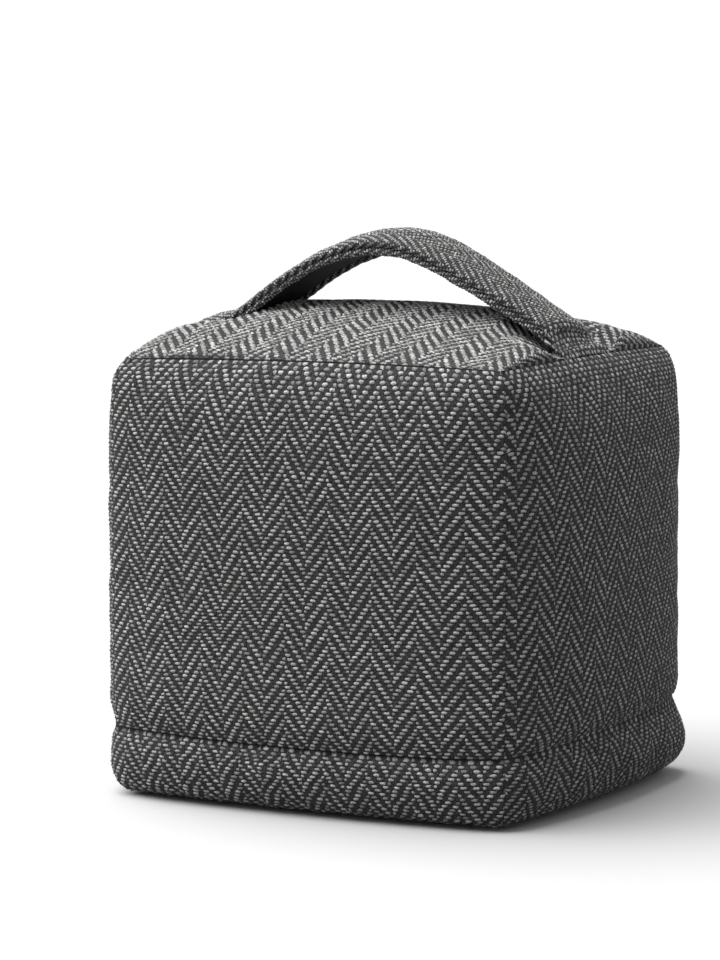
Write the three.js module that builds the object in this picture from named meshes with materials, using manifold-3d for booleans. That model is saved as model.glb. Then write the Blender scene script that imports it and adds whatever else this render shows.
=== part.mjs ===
// Weighted fabric door stop: a sewn herringbone cube with a strap handle, a filling and a weight bag inside.
// Millimetres, +Z up, standing on the XY plane with the middle of its underside at the origin.
// The front of the cube faces -Y and the handle runs along X.

import * as THREE from 'three';
import { mergeVertices } from 'three/addons/utils/BufferGeometryUtils.js';
import Module from 'manifold-3d';

const wasm = await Module();
wasm.setup();

// Driving dimensions of the cover
const width = 130;              // between the corner seams, along X
const depth = 115;              // between the corner seams, along Y
const height = 130;             // from the floor to the top seam
const crown = 15;               // rise of the top panel over its seam
const bandHeight = 20.5;        // band seam above the floor at the front left corner
const bandRise = 3.6;           // how much higher the band seam runs at the back right corner
const footHeight = 2;           // base seam above the floor
const flatShare = 0.84;         // share of the underside that lies flat on the floor
const wall = 2.4;               // cloth with its seam allowance
const seamGap = 0.3;            // between two panels along a seam
const swell = 7;                // round part of the bulge of a side
const shoulder = 4;             // part of the bulge that stays up to the corner seams
const seamGroove = 1.2;         // how far the band seam pulls the cloth in
const grooveReach = 9;          // how far from the band seam the cloth is drawn in
const slump = 3;                // how far the filling pushes the band out at the back right corner
const seamRise = 1.2;           // how far the top seam rises to the middle of a side
const seamTilt = 2.5;           // how much higher the top seam stands at the front right corner
const topInset = 0.05;          // share by which the top seam is drawn in
const footInset = 0.03;         // share by which the base seam is drawn in
const topRound = 4;             // roundness of the cloth below the top seam
const footRound = 2.5;          // roundness of the cloth above the base seam

// Driving dimensions of the weave
const columnWidth = 7.1;        // one stripe of the herringbone
const ridgePitch = 7.6;         // from one diagonal ridge to the next, along a stripe
const ridgeDepth = 0.8;         // ridge to valley
const straightRows = 3;         // rows over which the chevrons straighten out at a seam
const chevronSlope = 1.28;      // rise of a ridge for each millimetre across the stripe

// Driving dimensions of the handle
const strapWidth = 30;
const strapShift = -4;          // middle line of the strap, along Y
const strapApex = 4;            // highest point of the strap, along X
const strapTilt = 2;            // how much lower its back edge runs than its front edge
const strapThickness = 3.6;     // at its rolled edges
const strapCrown = 1.7;         // how far the strap swells outwards between its edges
const handleRise = 20.3;        // outer edges at the middle of the handle, above the crown
const footRise = 6;             // outer face of the strap over the top seam at its right foot
const leftFootRise = 4.5;         // the same at its left foot
const strapRound = 24;          // roundness of the bend at the middle
const rollWidth = 3.6;          // rolled edge of the strap, each side
const clothFold = 2.4;          // thickness of the folded cloth beside its rolled edges
const liningThickness = 0.8;
const clearance = 0.3;          // between pieces that touch

// Driving dimensions of the underside opening and what is inside
const lapEdge = 22;             // free edge of the outer flap, along Y
const lapWidth = 30;            // how far the flaps overlap
const lapLength = 96;           // length of the overlap, along X
const stripWidth = 20;          // hook and loop strips
const stripThickness = 1;
const flapThickness = 1.6;
const bagWidth = 88;            // weight bag, along X
const bagDepth = 74;
const bagHeight = 40;
const bagBottom = 16;           // underside of the weight bag above the floor

// Places worked out from the driving dimensions
const strapTop = height + crown + handleRise;
const seamReach = width / 2 * cornerScale(height) + bulge(0, height);
const rightFall = (strapTop - height - footRise) / (Math.hypot(seamReach - strapApex, strapRound) - strapRound);
const leftFall = (strapTop - height - leftFootRise) / (Math.hypot(seamReach + strapApex, strapRound) - strapRound);
const strapReach = seamReach - 0.3 * strapThickness;
const lapFloor = wall + clearance;
const hookFloor = lapFloor + stripThickness + clearance;
const flapFloor = hookFloor + stripThickness + clearance;
const fillingFloor = flapFloor + flapThickness + clearance;

const innerSteps = 6;           // plain faces across each inner wall of the cover
const centre = new THREE.Vector3(0, 0, height / 2);

// Smooth step between 0 and 1.
function smooth(x) {
  const c = THREE.MathUtils.clamp(x, 0, 1);
  return c * c * (3 - 2 * c);
}

// Share of the base rectangle at which the corner seams stand, at height z.
function cornerScale(z) {
  const top = 1 - topInset * Math.exp(-(height - z) / topRound);
  const pinch = 1 - 0.01 * Math.exp(-(((z - bandHeight - 1.5) / 5) ** 2));
  const foot = 1 - footInset * Math.exp(-(z - footHeight) / footRound);
  return 1.004 * top * pinch * foot;
}

// How far a side stands out from the line between its corner seams; t runs from -1 to 1 across the side.
function bulge(t, z) {
  const under = 0.25 + 0.75 * (1 - Math.exp(-(height - z) / (0.09 * height)));
  const over = 0.45 + 0.55 * (1 - Math.exp(-(z - footHeight) / (0.07 * height)));
  return (swell * (1 - t * t) + shoulder * (1 - Math.abs(t) ** 8)) * under * over;
}

// Height of the band seam over a point of the plan.
function bandAt(x, y) {
  return bandHeight + bandRise * smooth((x / width + y / depth + 0.35) / 1.2);
}

// Pushes a point of the band outwards where the filling has settled.
function settled(x, y, z) {
  const push = slump * smooth(x / width + y / depth) * Math.exp(-(((z - 10) / 9) ** 2));
  const far = Math.max(Math.hypot(x, y), 1);
  return new THREE.Vector3(x + push * x / far, y + push * y / far, z);
}

// The four sides in turn: front, right, back and left, with their outward and sideways directions.
const sides = [
  { name: 'front', out: [0, -1], along: [1, 0], half: width / 2, far: depth / 2 },
  { name: 'right', out: [1, 0], along: [0, 1], half: depth / 2, far: width / 2 },
  { name: 'back', out: [0, 1], along: [-1, 0], half: width / 2, far: depth / 2 },
  { name: 'left', out: [-1, 0], along: [0, -1], half: depth / 2, far: width / 2 },
];

// How far the top seam stands over its plain height at a point of the plan, t across the side.
function seamLift(x, y, t) {
  return seamRise * (1 - t * t) + seamTilt * Math.max(0, x / width - y / depth);
}

// Point on a side at t across and height z, raised by lift off the cloth.
function sidePoint(side, t, z, lift = 0) {
  const scale = cornerScale(z);
  const across = t * side.half * scale;
  let out = side.far * scale + bulge(t, z);
  const plan = (o) => [across * side.along[0] + o * side.out[0], across * side.along[1] + o * side.out[1]];
  const away = Math.min(1, Math.abs(z - bandAt(...plan(out))) / grooveReach);
  out += lift - seamGroove * (1 - away) ** 4 * (1 - Math.abs(t) ** 16);
  const share = (z - footHeight) / (height - footHeight);
  const point = settled(...plan(out), z);
  point.z += seamLift(...plan(out), t) * share ** 12;
  return point;
}

// How steeply the handle falls far from its bend, on the side of x.
function strapFall(x) {
  return x > strapApex ? rightFall : leftFall;
}

// Height of the outer edges of the handle over x.
function strapOutside(x) {
  return strapTop - strapFall(x) * (Math.hypot(x - strapApex, strapRound) - strapRound);
}

// How far a point of the strap is lowered by its tilt.
function tiltDrop(across) {
  return strapTilt * THREE.MathUtils.clamp(across / strapWidth, -0.5, 0.5);
}

// Height of the inner face of the handle over a point of the plan.
function strapInside(x, y) {
  return strapOutside(x) - strapThickness * Math.hypot(1, strapFall(x)) - tiltDrop(y - strapShift);
}

// Point on the crowned top, p along X and q along Y from -1 to 1, dented under the feet of the handle.
function topPoint(p, q, raised = 0) {
  const scale = cornerScale(height);
  const x = p * (width / 2 * scale + bulge(q, height) * Math.abs(p) ** 3);
  const y = q * (depth / 2 * scale + bulge(p, height) * Math.abs(q) ** 3);
  const most = Math.max(Math.abs(p), Math.abs(q));
  const least = Math.min(Math.abs(p), Math.abs(q));
  const lift = seamLift(x, y, least);
  const dome = (1 - Math.abs(p) ** 1.85) ** 0.3 * (1 - Math.abs(q) ** 1.7) ** 0.8;
  let z = height + crown * dome + lift * most ** 6;
  const pressed = Math.max(strapInside(x, y) - 3 * clearance, height + lift + 0.2);
  const under = 1 - smooth((Math.abs(y - strapShift) - strapWidth / 2 - 1) / 16);
  z -= Math.max(z - pressed, 0) * under;
  return new THREE.Vector3(x, y, z + raised);
}

// Point on the underside, flat on the floor and rolled up to the base seam at its rim.
function basePoint(p, q) {
  const scale = cornerScale(footHeight);
  const x = p * (width / 2 * scale + bulge(q, footHeight) * Math.abs(p) ** 3);
  const y = q * (depth / 2 * scale + bulge(p, footHeight) * Math.abs(q) ** 3);
  const rim = Math.max(0, Math.max(Math.abs(p), Math.abs(q)) - flatShare) / (1 - flatShare);
  const point = settled(x, y, footHeight);
  point.z = footHeight * rim * rim;
  return point;
}

// Solid from points and triangles, with equal points merged.
function solid(points, triangles) {
  const geometry = new THREE.BufferGeometry().setFromPoints(points);
  geometry.setIndex(triangles.flat());
  const merged = mergeVertices(geometry, 1e-3);
  const vertProperties = new Float32Array(merged.attributes.position.array);
  const index = [...merged.index.array];
  const triVerts = [];
  for (let i = 0; i < index.length; i += 3) {
    const [a, b, c] = index.slice(i, i + 3);
    if (a !== b && b !== c && c !== a) triVerts.push(a, b, c);
  }
  return new wasm.Manifold(new wasm.Mesh({ numProp: 3, vertProperties, triVerts: new Uint32Array(triVerts) }));
}

// Solid from one of the three.js geometries.
function fromGeometry(geometry) {
  const bare = geometry.clone();
  bare.deleteAttribute('normal');
  bare.deleteAttribute('uv');
  const merged = mergeVertices(bare, 1e-3);
  const vertProperties = new Float32Array(merged.attributes.position.array);
  return new wasm.Manifold(new wasm.Mesh({ numProp: 3, vertProperties, triVerts: new Uint32Array(merged.index.array) }));
}

// Box between two corners.
function box(low, high) {
  const size = high.map((value, i) => value - low[i]);
  const geometry = new THREE.BoxGeometry(...size);
  geometry.translate(...low.map((value, i) => value + size[i] / 2));
  return fromGeometry(geometry);
}

// Triangles of a grid of points, each cell parted along its shorter diagonal or, if plain, always the same way.
function gridTriangles(grid, first = 0, plain = false) {
  const columns = grid[0].length;
  const triangles = [];
  for (let r = 0; r < grid.length - 1; r++) {
    for (let c = 0; c < columns - 1; c++) {
      const a = first + r * columns + c;
      const [b, d, e] = [a + 1, a + columns, a + columns + 1];
      const rising = grid[r][c].distanceTo(grid[r + 1][c + 1]);
      const falling = grid[r][c + 1].distanceTo(grid[r + 1][c]);
      if (plain || rising <= falling) triangles.push([a, b, e], [a, e, d]);
      else triangles.push([a, b, d], [b, e, d]);
    }
  }
  return triangles;
}

// Wedge from a grid of surface points to the middle of the cube.
function wedge(grid) {
  const rows = grid.length;
  const columns = grid[0].length;
  const points = grid.flat();
  const at = (r, c) => r * columns + c;
  const triangles = gridTriangles(grid);
  const ring = [];
  for (let c = 0; c < columns; c++) ring.push(at(0, c));
  for (let r = 1; r < rows; r++) ring.push(at(r, columns - 1));
  for (let c = columns - 2; c >= 0; c--) ring.push(at(rows - 1, c));
  for (let r = rows - 2; r > 0; r--) ring.push(at(r, 0));
  points.push(centre);
  ring.forEach((from, i) => triangles.push([ring[(i + 1) % ring.length], from, points.length - 1]));
  return solid(points, triangles);
}

// Share of the full chevron at a row, which straightens out over the rows next to a seam.
function chevronShare(row, rows) {
  return smooth(Math.min(row, rows - row) / straightRows);
}

// Grid with chevron ridges: surface(t, s, lift) takes t across from -1 to 1 and s in millimetres from low to high.
function chevronGrid(across, lowAt, highAt, surface, shorten) {
  const columns = Math.max(2, Math.round(across / columnWidth));
  const span = highAt(0) - lowAt(0);
  const rows = Math.max(4, 2 * Math.round(span / ridgePitch));
  const zigzag = chevronSlope * columnWidth / 2;
  const grid = [];
  for (let row = 0; row <= rows; row++) {
    const line = [];
    for (let column = 0; column <= columns; column++) {
      const t = (2 * column / columns - 1) * shorten;
      const low = lowAt(t);
      const step = (highAt(t) - low) / rows;
      const shift = (column % 2 ? zigzag : -zigzag) * chevronShare(row, rows);
      const inside = row > 0 && row < rows && column > 0 && column < columns;
      const lift = inside ? (row % 2 ? -ridgeDepth / 2 : ridgeDepth / 2) : 0;
      line.push(surface(t, low + row * step + shift * step / (ridgePitch / 2), lift));
    }
    grid.push(line);
  }
  return grid;
}

// Closed shape of the whole cube, drawn in or out along lines from its middle, with plain faces.
function cube(inset, steps, floor = -Infinity) {
  const points = [];
  const triangles = [];
  const lattice = Array.from({ length: steps + 1 }, (_, i) => 2 * i / steps - 1);
  const faces = sides.map((side) => (t, s) => sidePoint(side, t, footHeight + (s + 1) / 2 * (height - footHeight)));
  faces.push((p, q) => topPoint(p, q), (p, q) => basePoint(-p, q));
  for (const face of faces) {
    const grid = lattice.map((s) => lattice.map((t) => {
      const point = face(t, s);
      point.addScaledVector(point.clone().sub(centre).normalize(), -inset);
      point.z = Math.max(point.z, floor);
      return point;
    }));
    triangles.push(...gridTriangles(grid, points.length, true));
    points.push(...grid.flat());
  }
  return solid(points, triangles);
}

// Part of a side between two heights that may change along it.
function sideWedge(side, low, high) {
  const shorten = 1 - seamGap / 2 / side.half;
  return wedge(chevronGrid(2 * side.half, low, high, (t, z, lift) => sidePoint(side, t, z, lift), shorten));
}

// A side above the band seam, filled to the middle of the cube.
function upperWedge(side) {
  return sideWedge(side, (t) => bandSeam(side, t) + seamGap / 2, () => height - seamGap / 2);
}

// A piece of the band below the band seam, filled to the middle of the cube.
function bandWedge(side) {
  return sideWedge(side, () => footHeight + seamGap / 2, (t) => bandSeam(side, t) - seamGap / 2);
}

// Height of the band seam along a side.
function bandSeam(side, t) {
  const across = t * side.half;
  const x = across * side.along[0] + side.far * side.out[0];
  const y = across * side.along[1] + side.far * side.out[1];
  return bandAt(x, y);
}

// The crowned top, its stripes running from front to back, filled to the middle of the cube.
function topWedge() {
  const shorten = 1 - seamGap / depth;
  const reach = depth / 2 * shorten;
  const surface = (t, s, lift) => topPoint(t, THREE.MathUtils.clamp(s / reach, -1, 1) * shorten, lift);
  return wedge(chevronGrid(width, () => -reach, () => reach, surface, 1 - seamGap / width));
}

// The underside filled to the middle of the cube, before it is parted into its two flaps.
function baseWedge() {
  const steps = 12;
  const shorten = 1 - seamGap / depth;
  const grid = [];
  for (let r = 0; r <= steps; r++) {
    const line = [];
    for (let c = 0; c <= steps; c++) {
      const p = 1 - 2 * c / steps;
      const q = 2 * r / steps - 1;
      line.push(basePoint(p * shorten, q * shorten));
    }
    grid.push(line);
  }
  return wedge(grid);
}

// Outer flap of the underside, which ends in a free edge.
function frontFlap(shell) {
  return shell.subtract(box([-width, lapEdge, -1], [width, depth, height]));
}

// Inner flap, which steps up over the outer one.
function backFlap(shell) {
  const start = lapEdge + clearance;
  const plate = shell.subtract(box([-width, -depth, -1], [width, start, height]));
  const riser = box([-lapLength / 2, start, wall / 2], [lapLength / 2, start + flapThickness, flapFloor + flapThickness]);
  const ledge = box(
    [-lapLength / 2, lapEdge - lapWidth, flapFloor],
    [lapLength / 2, start + flapThickness, flapFloor + flapThickness],
  );
  return plate.add(riser).add(ledge);
}

// One strip of the hook and loop closure between the flaps.
function closureStrip(floor) {
  const middle = lapEdge - lapWidth / 2;
  const inset = 3;
  return box(
    [-lapLength / 2 + inset, middle - stripWidth / 2, floor],
    [lapLength / 2 - inset, middle + stripWidth / 2, floor + stripThickness],
  );
}

// Middle line of the handle and its outward direction, at u from -1 to 1.
function strapLine(u) {
  const x = u * strapReach;
  const slope = -strapFall(x) * (x - strapApex) / Math.hypot(x - strapApex, strapRound);
  const normal = new THREE.Vector3(-slope, 0, 1).normalize();
  const z = strapOutside(x) - strapThickness / 2 * Math.hypot(1, slope);
  return { point: new THREE.Vector3(x, 0, z), normal };
}

// Solid swept along the handle from a ring of section points [across, outward]; lift raises a point, shift
// moves it along, counted in stations.
function sweep(section, stations, lift, shift) {
  const points = [];
  const triangles = [];
  const count = section.length;
  for (let i = 0; i <= stations; i++) {
    section.forEach(([across, outward], j) => {
      const u = THREE.MathUtils.clamp(2 * (i + shift(i, j)) / stations - 1, -1, 1);
      const { point, normal } = strapLine(u);
      point.addScaledVector(normal, outward + lift(i, j));
      point.y = strapShift + across;
      point.z -= tiltDrop(across);
      points.push(point);
    });
  }
  for (let i = 0; i < stations; i++) {
    for (let j = 0; j < count; j++) {
      const a = i * count + j;
      const b = i * count + (j + 1) % count;
      triangles.push([a, b, b + count], [a, b + count, a + count]);
    }
  }
  const faces = THREE.ShapeUtils.triangulateShape(section.map(([a, o]) => new THREE.Vector2(a, o)), []);
  const last = stations * count;
  for (const [a, b, c] of faces) {
    triangles.push([a, c, b], [last + a, last + b, last + c]);
  }
  return solid(points, triangles);
}

// Strap of folded cloth with rolled edges, open below for its lining.
function handleStrap(body) {
  const half = strapWidth / 2;
  const top = strapThickness / 2;
  const roof = top - clothFold;
  const inner = half - rollWidth;
  const stripes = Math.max(2, 2 * Math.round(inner / columnWidth));
  const zigzag = chevronSlope * 2 * inner / stripes / ridgePitch;
  const section = [];
  for (let i = 0; i <= stripes; i++) {
    const across = inner - 2 * inner * i / stripes;
    section.push([across, top + strapCrown * (1 - (across / half) ** 2)]);
  }
  section.push([-half, top - 1], [-half, 1 - top], [-half + rollWidth / 2, -top], [-inner, roof]);
  section.push([inner, roof], [half - rollWidth / 2, -top], [half, 1 - top], [half, top - 1]);
  const length = 2 * strapReach * Math.hypot(1, leftFall);
  const stations = 2 * Math.round(length / ridgePitch);
  const onTop = (i, j) => j > 0 && j < stripes && i > 0 && i < stations;
  const lift = (i, j) => (onTop(i, j) ? (i % 2 ? -ridgeDepth / 2 : ridgeDepth / 2) : 0);
  const shift = (i, j) => (j <= stripes ? (j % 2 ? zigzag : -zigzag) * chevronShare(i, stations) : 0);
  return sweep(section, stations, lift, shift).subtract(body);
}

// Plain tape sewn under the strap.
function handleLining(body) {
  const half = strapWidth / 2 - rollWidth - clearance;
  const high = strapThickness / 2 - clothFold - clearance;
  const low = high - liningThickness;
  const section = [[half, high], [-half, high], [-half, low], [half, low]];
  return sweep(section, 18, () => 0, () => 0).subtract(body);
}

// What the feet of the handle rest on: the cube with its top and sides made a little larger.
function footing(wedges) {
  const growth = 1 + 3 * clearance / height;
  return wedges.reduce(
    (sum, shape) => sum.add(shape.translate(0, 0, -centre.z).scale(growth).translate(0, 0, centre.z)),
    cube(0, 24),
  );
}

// Rounded pillow of the given size, with its underside at the height of floor.
function pillow(size, floor) {
  const geometry = new THREE.SphereGeometry(1, 16, 10);
  geometry.deleteAttribute('normal');
  geometry.deleteAttribute('uv');
  const position = geometry.attributes.position;
  const power = 0.42;
  for (let i = 0; i < position.count; i++) {
    const v = new THREE.Vector3().fromBufferAttribute(position, i);
    const squared = v.toArray().map((c) => Math.sign(c) * Math.abs(c) ** power);
    position.setXYZ(i, squared[0] * size[0] / 2, squared[1] * size[1] / 2, floor + (squared[2] + 1) * size[2] / 2);
  }
  const merged = mergeVertices(geometry, 1e-3);
  const points = [];
  for (let i = 0; i < merged.attributes.position.count; i++) {
    points.push(new THREE.Vector3().fromBufferAttribute(merged.attributes.position, i));
  }
  const index = [...merged.index.array];
  const triangles = [];
  for (let i = 0; i < index.length; i += 3) triangles.push(index.slice(i, i + 3));
  return solid(points, triangles);
}

// Filling of the cube, with a pocket open to the left that holds the weight bag.
function filling() {
  const block = cube(wall + 2 * clearance, innerSteps, fillingFloor);
  const pocket = box(
    [-width, -bagDepth / 2 - clearance, bagBottom - clearance],
    [bagWidth / 2 + clearance, bagDepth / 2 + clearance, bagBottom + bagHeight + clearance],
  );
  return block.subtract(pocket);
}

// Named mesh of a solid.
function piece(name, shape, material) {
  const mesh = shape.getMesh();
  const geometry = new THREE.BufferGeometry();
  geometry.setAttribute('position', new THREE.BufferAttribute(new Float32Array(mesh.vertProperties), 3));
  geometry.setIndex(new THREE.BufferAttribute(new Uint32Array(mesh.triVerts), 1));
  geometry.computeVertexNormals();
  const result = new THREE.Mesh(geometry, material);
  result.name = name;
  return result;
}

// Materials
const cloth = () => new THREE.MeshStandardMaterial({ color: 0x4b4b4b, roughness: 0.95, metalness: 0 });
const tape = new THREE.MeshStandardMaterial({ color: 0x161616, roughness: 0.9, metalness: 0 });
const strip = () => new THREE.MeshStandardMaterial({ color: 0x1c1c1c, roughness: 0.95, metalness: 0 });
const fibre = new THREE.MeshStandardMaterial({ color: 0xe8e6e0, roughness: 1, metalness: 0 });
const bagFilm = new THREE.MeshStandardMaterial({ color: 0xb9a88a, roughness: 0.6, metalness: 0 });

const hollow = cube(wall, innerSteps, wall);
const upper = sides.map(upperWedge);
const top = topWedge();
const base = baseWedge().subtract(hollow);
const feet = footing([top, upper[1], upper[3]]);

const stop = new THREE.Group();
stop.name = 'door_stop';
stop.add(piece('top_panel', top.subtract(hollow), cloth()));
sides.forEach((side, i) => {
  stop.add(piece(`${side.name}_panel`, upper[i].subtract(hollow), cloth()));
  stop.add(piece(`band_${side.name}`, bandWedge(side).subtract(hollow), cloth()));
});
stop.add(piece('base_front_flap', frontFlap(base), cloth()));
stop.add(piece('base_back_flap', backFlap(base), cloth()));
stop.add(piece('loop_strip', closureStrip(lapFloor), strip()));
stop.add(piece('hook_strip', closureStrip(hookFloor), strip()));
stop.add(piece('handle_strap', handleStrap(feet), cloth()));
stop.add(piece('handle_lining', handleLining(cube(-clearance - ridgeDepth, 12)), tape));
stop.add(piece('filling', filling(), fibre));
stop.add(piece('weight_bag', pillow([bagWidth, bagDepth, bagHeight], bagBottom), bagFilm));

export default stop;
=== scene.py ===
"""Weighted fabric door stop: its frame dressed in sewn herringbone cloth, with a strap handle, on a stage."""

from functools import partial
from types import SimpleNamespace

import bpy
import numpy as np
from bpy.props import FloatProperty, FloatVectorProperty, IntProperty, PointerProperty
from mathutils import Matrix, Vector


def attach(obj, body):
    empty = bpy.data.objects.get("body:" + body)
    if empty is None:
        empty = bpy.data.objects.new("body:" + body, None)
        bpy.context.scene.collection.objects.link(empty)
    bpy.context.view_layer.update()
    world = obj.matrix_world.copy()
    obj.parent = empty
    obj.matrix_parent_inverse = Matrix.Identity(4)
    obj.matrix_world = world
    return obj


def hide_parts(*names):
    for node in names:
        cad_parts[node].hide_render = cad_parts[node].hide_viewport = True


bl_info = {
    "name": "Weighted fabric door stop",
    "version": (1, 0, 0),
    "blender": (4, 5, 0),
    "location": "View3D > Sidebar > Door stop",
    "description": "Dresses the frame of a door stop in herringbone cloth and sets its stage",
    "category": "Object",
}

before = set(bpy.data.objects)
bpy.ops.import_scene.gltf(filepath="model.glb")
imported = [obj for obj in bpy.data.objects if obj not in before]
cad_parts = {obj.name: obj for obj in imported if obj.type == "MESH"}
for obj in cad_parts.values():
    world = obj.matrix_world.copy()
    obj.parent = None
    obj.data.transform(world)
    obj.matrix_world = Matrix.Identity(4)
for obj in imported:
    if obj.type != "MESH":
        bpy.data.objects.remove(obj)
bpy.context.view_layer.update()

# In plan, the way that each side faces and the way from its left to its right.
SIDES = {
    "front": ((0, -1), (1, 0)),
    "right": ((1, 0), (0, 1)),
    "back": ((0, 1), (-1, 0)),
    "left": ((-1, 0), (0, -1)),
}
MM = 0.001  # a millimetre in Blender's unit
CENTRE = np.array([0.0, 0.0, 65.0])  # point, in millimetres, that the seams are tucked in towards

# Form of the cover: heights and reaches in millimetres, the rest shares and powers.
PLAN_SHARE = 1.004  # its plan to the frame's
PINCH, PINCH_RISE, PINCH_REACH = 0.01, 1.5, 5.0  # drawn in just over the band seam
TOP_BULGE, TOP_EASE = 0.25, 0.09  # bulge kept at the top seam, and the share of the height that it grows over
FOOT_BULGE, FOOT_EASE = 0.45, 0.07  # the same at the base seam
BAND_START, BAND_RUN = 0.35, 1.2  # where the band seam rises along the plan's diagonal
SLUMP_HEIGHT, SLUMP_REACH = 10.0, 9.0  # where the filling pushes out most
DOME_X, DOME_X_EDGE = 1.85, 0.3  # powers of the crown along X
DOME_Y, DOME_Y_EDGE = 1.7, 0.8  # the same along Y
LEAST_RISE = 0.2  # of the top over its seam, where the strap presses it down
FILLING_GAP, FILLING_FLOOR = 7.0, 9.0  # filling inside the cover, and above the floor

# Course of the strap, in millimetres, and shares of its thickness.
SAG, SAG_START = 0.0042, 13  # how the left end bends down, and how far to the left it begins
UNDER_STRAP = 0.93  # crown that the left end lies on, to the crown's full rise
SINK, SINK_BEND = 1.6, 1.6  # how deep the left end lies in the crown, and how softly it comes to lie on it
LEFT_DROP = 3  # how far the left end may run below its foot rise
LEFT_FULL, FULL_START, FULL_RUN = 0.72, 30, 40  # thickness kept to the left, and where the rest comes back
SEWN_THIN, SEWN_START, SEWN_RUN = 0.75, 7, 6  # thickness lost where its ends turn into the seam
SEWN_RISE, SEWN_TUCK, TUCK_RUN = 1.5, 2.2, 1.4  # sewn ends over the seam, and how they tuck into it
TILT_RUN = 5  # distance over which the left part takes on its tilt
TAPE_ROOM = 0.9  # from the strap's inner face to the top
DENT, DENT_PLACE = 2.6, (20, 25, 57, 8)  # hollow of the top under its right leg, and where it comes and goes
RIGHT_REACH, LEFT_REACH = 14, 7  # how far beside the strap the top is pressed down

# A float's half length and half width in yarns, in the mesh and in the colours, and the powers that round it.
LIGHT_FLOAT, DARK_FLOAT = (1.06, 0.42), (1.1, 0.5)
LIGHT_PATCH, DARK_PATCH = (1.06, 0.41), (1.1, 0.48)
FLOAT_ENDS, FLOAT_FLANKS = 3, 2.2
DARK_HEIGHT = 0.5  # of a dark float to a light one
MID_HEIGHT = 0.4  # height of the weave that lies on the plain surface

# Cloth at a seam, in millimetres: how far each effect reaches, and the depth and size of creases and swells.
STITCH_REACH, DIP_REACH = 1.6, 3.0
WEAVE_IN, SWELLS_IN, HOLLOWS_IN = 0.9, 6, 0.7  # how far from a seam each takes to come in
CREASE, CREASE_SIZE, CREASE_REACH = 0.22, 11.0, 7.0
UNEVEN, UNEVEN_SIZE = 0.10, 26.0
SEAM_SHADE_WIDTH, SEAM_SHADE_CHANGE, SEAM_SHADE_SIZE, SEAM_SHADE_LEAST = 0.5, 0.4, 13.0, 0.15  # painted shade drawn as a dark line along a seam
TUCK = 1.8  # how far a border is tucked in past its seam

# Looks of the panels: yarn counts at their left borders, fuzziness and brightness of their weave, painted
# seam shade.
# A brightness over 1 is painted light, on the top and the strap, and one under 1 painted shade, on the right
# side.
SIDE_STARTS, BAND_STARTS, TOP_START = (6, 4.667, 9.333, 2.667), (8.667, 8, 11.333, 6), 0.667
PANEL_LOOK, RIGHT_FUZZ_AND_SHADE, TOP_FUZZ_AND_LIGHT, STRAP_FUZZ_AND_LIGHT = (1.25, 1.0), (1.6, 0.86), (1.25, 1.1), (2.8, 1.25)
RIGHT_PULL = 0.6  # height of the right side's floats to the others'
SEAM_ROWS = 6  # rows of points beside the front's top seam, where its painted shade is darkest
LOW_SHADE, OTHER_SHADE, TOP_SHADE = 0.5, 0.4, 0.3  # painted seam shade below those rows, on other sides and on top
GAP_SHADE_PLACE, GAP_SHADE_REACH = (-58, 8, -28, 14), 1.7  # painted shade, in blotches, of the gap under the top's edge at the left of its front seam
WANDER, WANDER_SIZES = 0.006, (38.0, 31.0)  # how far the weave's lines stray, to half a panel, and how often
SETTLE_RIM = 0.06  # share of a face over which its settling comes in
SIDE_OVER, TOP_OVER_X, TOP_OVER_Y = 1.03, 1.08, 1.02  # cloth over its bulge, to the straight width
STRAP_UNEVEN, STRAP_UNEVEN_SIZE = 0.12, 14.0
LOOP_SCALE, HOOK_SCALE = 2200.0, 1300.0  # tips of the closure strips in a metre

LAMP_SIDE = (-0.60, -0.16, 1.0)  # where the overhead lamp stands, seen from the object

settling = {}  # how far the filled cover moves each face


def metres(name, description, default, precision=3):
    """A size in metres."""
    return FloatProperty(
        name=name, description=description, default=default, precision=precision, unit="LENGTH"
    )


def factor(name, description, default):
    """A plain factor."""
    return FloatProperty(name=name, description=description, default=default, subtype="FACTOR")


def tint(name, description, default):
    """A colour, linear red, green and blue."""
    return FloatVectorProperty(name=name, description=description, default=default, subtype="COLOR")


class CoverSizes(bpy.types.PropertyGroup):
    """Sizes of the sewn cube, the same as those of its frame."""

    width: metres("Width", "Between the corner seams, along X", 0.130)
    depth: metres("Depth", "Between the corner seams, along Y", 0.115)
    height: metres("Height", "Floor to top seam", 0.130)
    crown: metres("Crown", "Rise of the top over its seam", 0.015)
    band_height: metres("Band height", "Band seam above the floor, front left", 0.0205)
    band_rise: metres("Band rise", "How much higher the band seam is, back right", 0.0036)
    foot_height: metres("Foot height", "Base seam above the floor", 0.002)
    swell: metres("Swell", "Round part of a side's bulge", 0.007)
    shoulder: metres("Shoulder", "Part of the bulge kept up to the corner seams", 0.004)
    seam_groove: metres("Seam groove", "How far the band seam pulls in", 0.0012)
    groove_reach: metres("Groove reach", "How far from the band seam the cloth is drawn in", 0.009)
    slump: metres("Slump", "How far the filling pushes the band out, back right", 0.003)
    seam_rise: metres("Seam rise", "How far the top seam rises to mid side", 0.0012)
    seam_tilt: metres("Seam tilt", "How much higher the top seam is, front right", 0.0025)
    top_round: metres("Top roundness", "Roundness below the top seam", 0.004)
    foot_round: metres("Foot roundness", "Roundness above the base seam", 0.0025)
    top_inset: factor("Top inset", "Share by which the top seam is drawn in", 0.05)
    foot_inset: factor("Foot inset", "Share by which the base seam is drawn in", 0.03)
    flat_share: factor("Flat share", "Share of the underside on the floor", 0.84)
    lap_edge: metres("Lap edge", "Free edge of the outer flap, along Y", 0.022)


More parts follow.
